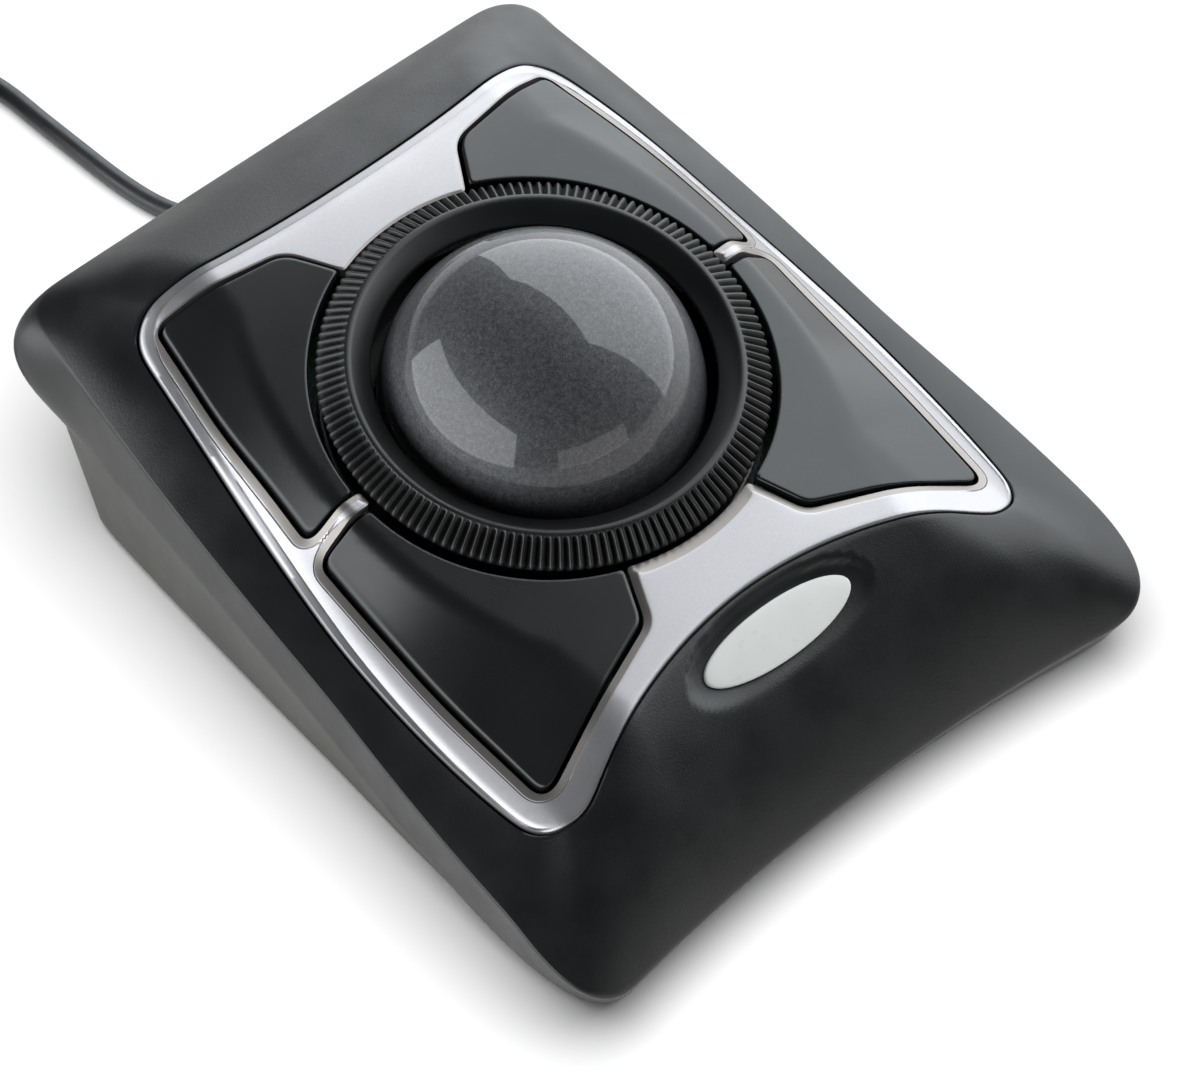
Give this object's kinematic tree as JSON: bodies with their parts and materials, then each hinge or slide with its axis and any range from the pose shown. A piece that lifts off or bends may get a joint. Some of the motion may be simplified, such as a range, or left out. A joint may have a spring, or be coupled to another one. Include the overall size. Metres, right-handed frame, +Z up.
{
  "type": "trackball mouse",
  "caption": "Desktop trackball mouse: a large ball in a tilted deck with a ribbed scroll ring round it, wide corner buttons, a two-part sloping case, rubber feet and a USB lead.",
  "frame": {"origin": "on the table, under the middle of the case without its lead, so the feet stand on z = 0", "axes": "+X to the user's right, +Y to the rear, where the lead leaves, +Z up"},
  "size_m": [0.1403, 0.2724, 0.065],
  "materials": {
    "cover_plastic": "fine textured charcoal black",
    "base_plastic": "fine textured dark grey",
    "silver_trim": "satin silver paint on plastic",
    "button_plastic": "satin black",
    "ring_plastic": "satin black, ribbed rim",
    "ball_resin": "dark grey pearl under a polished clear coat",
    "cup_plastic": "moulded black",
    "steel": "plated steel",
    "circuit_board": "green solder mask",
    "chip_plastic": "moulded black",
    "lens_plastic": "clear",
    "white_plastic": "moulded off-white",
    "rubber": "matt black",
    "badge_face": "plain off-white enamel",
    "label_film": "plain grey film",
    "cord_jacket": "satin black vinyl"
  },
  "bodies": {
    "case": {"trim_plate": "silver_trim", "hinge_bracket_right": "cup_plastic", "hinge_pin_upper_right": "steel", "hinge_pin_lower_right": "steel", "hinge_bracket_left": "cup_plastic", "hinge_pin_upper_left": "steel", "hinge_pin_lower_left": "steel", "switch_body_upper_right": "chip_plastic", "switch_body_upper_left": "chip_plastic", "switch_body_lower_right": "chip_plastic", "switch_body_lower_left": "chip_plastic", "ring_track": "white_plastic", "ball_cup": "cup_plastic", "bearing_ball_1": "steel", "bearing_ball_2": "steel", "bearing_ball_3": "steel", "sensor_lens": "lens_plastic", "optical_sensor": "chip_plastic", "sensor_board": "circuit_board", "ring_encoder": "chip_plastic", "switch_board": "circuit_board", "top_cover": "cover_plastic", "base_shell": "base_plastic", "case_screw_1": "steel", "case_screw_2": "steel", "case_screw_3": "steel", "case_screw_4": "steel", "foot_rear_right": "rubber", "foot_rear_left": "rubber", "foot_front_right": "rubber", "foot_front_left": "rubber", "blank_label": "label_film", "badge": "badge_face", "main_board": "circuit_board", "usb_controller": "chip_plastic", "cable_connector": "white_plastic", "strain_relief": "rubber", "cord_lead": "cord_jacket", "cord_coil": "cord_jacket", "cord_tail": "cord_jacket", "cord_tie": "rubber", "plug_body": "cord_jacket", "plug_shell": "steel", "plug_tongue": "white_plastic"},
    "ball": {"ball": "ball_resin"},
    "scroll_ring": {"scroll_ring": "ring_plastic"},
    "button_upper_left": {"button_upper_left": "button_plastic"},
    "plunger_upper_left": {"switch_plunger_upper_left": "white_plastic"},
    "button_upper_right": {"button_upper_right": "button_plastic"},
    "plunger_upper_right": {"switch_plunger_upper_right": "white_plastic"},
    "button_lower_left": {"button_lower_left": "button_plastic"},
    "plunger_lower_left": {"switch_plunger_lower_left": "white_plastic"},
    "button_lower_right": {"button_lower_right": "button_plastic"},
    "plunger_lower_right": {"switch_plunger_lower_right": "white_plastic"}
  },
  "joints": [
    {"name": "ball_roll", "type": "hinge", "parent": "case", "child": "ball", "pos_m": [0, 0.00592, 0.03752], "axis": [1, 0, 0], "continuous": true},
    {"name": "ring_spin", "type": "hinge", "parent": "case", "child": "scroll_ring", "pos_m": [0, 0.0056, 0.0398], "axis": [0, -0.1392, 0.9903], "continuous": true},
    {"name": "press_upper_left", "type": "hinge", "parent": "case", "child": "button_upper_left", "pos_m": [-0.042, 0.01194, 0.03423], "axis": [1, 0, 0], "range_deg": [-1.5, 0], "stiffness_Nm_per_rad": 1},
    {"name": "plunge_upper_left", "type": "slide", "parent": "case", "child": "plunger_upper_left", "axis": [0, 0.1392, -0.9903], "range_m": [0, 0.0006]},
    {"name": "press_upper_right", "type": "hinge", "parent": "case", "child": "button_upper_right", "pos_m": [0.042, 0.01194, 0.03423], "axis": [1, 0, 0], "range_deg": [-1.5, 0], "stiffness_Nm_per_rad": 1},
    {"name": "plunge_upper_right", "type": "slide", "parent": "case", "child": "plunger_upper_right", "axis": [0, 0.1392, -0.9903], "range_m": [0, 0.0006]},
    {"name": "press_lower_left", "type": "hinge", "parent": "case", "child": "button_lower_left", "pos_m": [-0.042, 0.00104, 0.0327], "axis": [1, 0, 0], "range_deg": [0, 1.5], "stiffness_Nm_per_rad": 1},
    {"name": "plunge_lower_left", "type": "slide", "parent": "case", "child": "plunger_lower_left", "axis": [0, 0.1392, -0.9903], "range_m": [0, 0.0006]},
    {"name": "press_lower_right", "type": "hinge", "parent": "case", "child": "button_lower_right", "pos_m": [0.042, 0.00104, 0.0327], "axis": [1, 0, 0], "range_deg": [0, 1.5], "stiffness_Nm_per_rad": 1},
    {"name": "plunge_lower_right", "type": "slide", "parent": "case", "child": "plunger_lower_right", "axis": [0, 0.1392, -0.9903], "range_m": [0, 0.0006]}
  ],
  "couplings": [
    {"joint": "plunge_upper_left", "follows": "press_upper_left", "m_per_rad": -0.0195},
    {"joint": "plunge_upper_right", "follows": "press_upper_right", "m_per_rad": -0.0195},
    {"joint": "plunge_lower_left", "follows": "press_lower_left", "m_per_rad": 0.0195},
    {"joint": "plunge_lower_right", "follows": "press_lower_right", "m_per_rad": 0.0195}
  ]
}
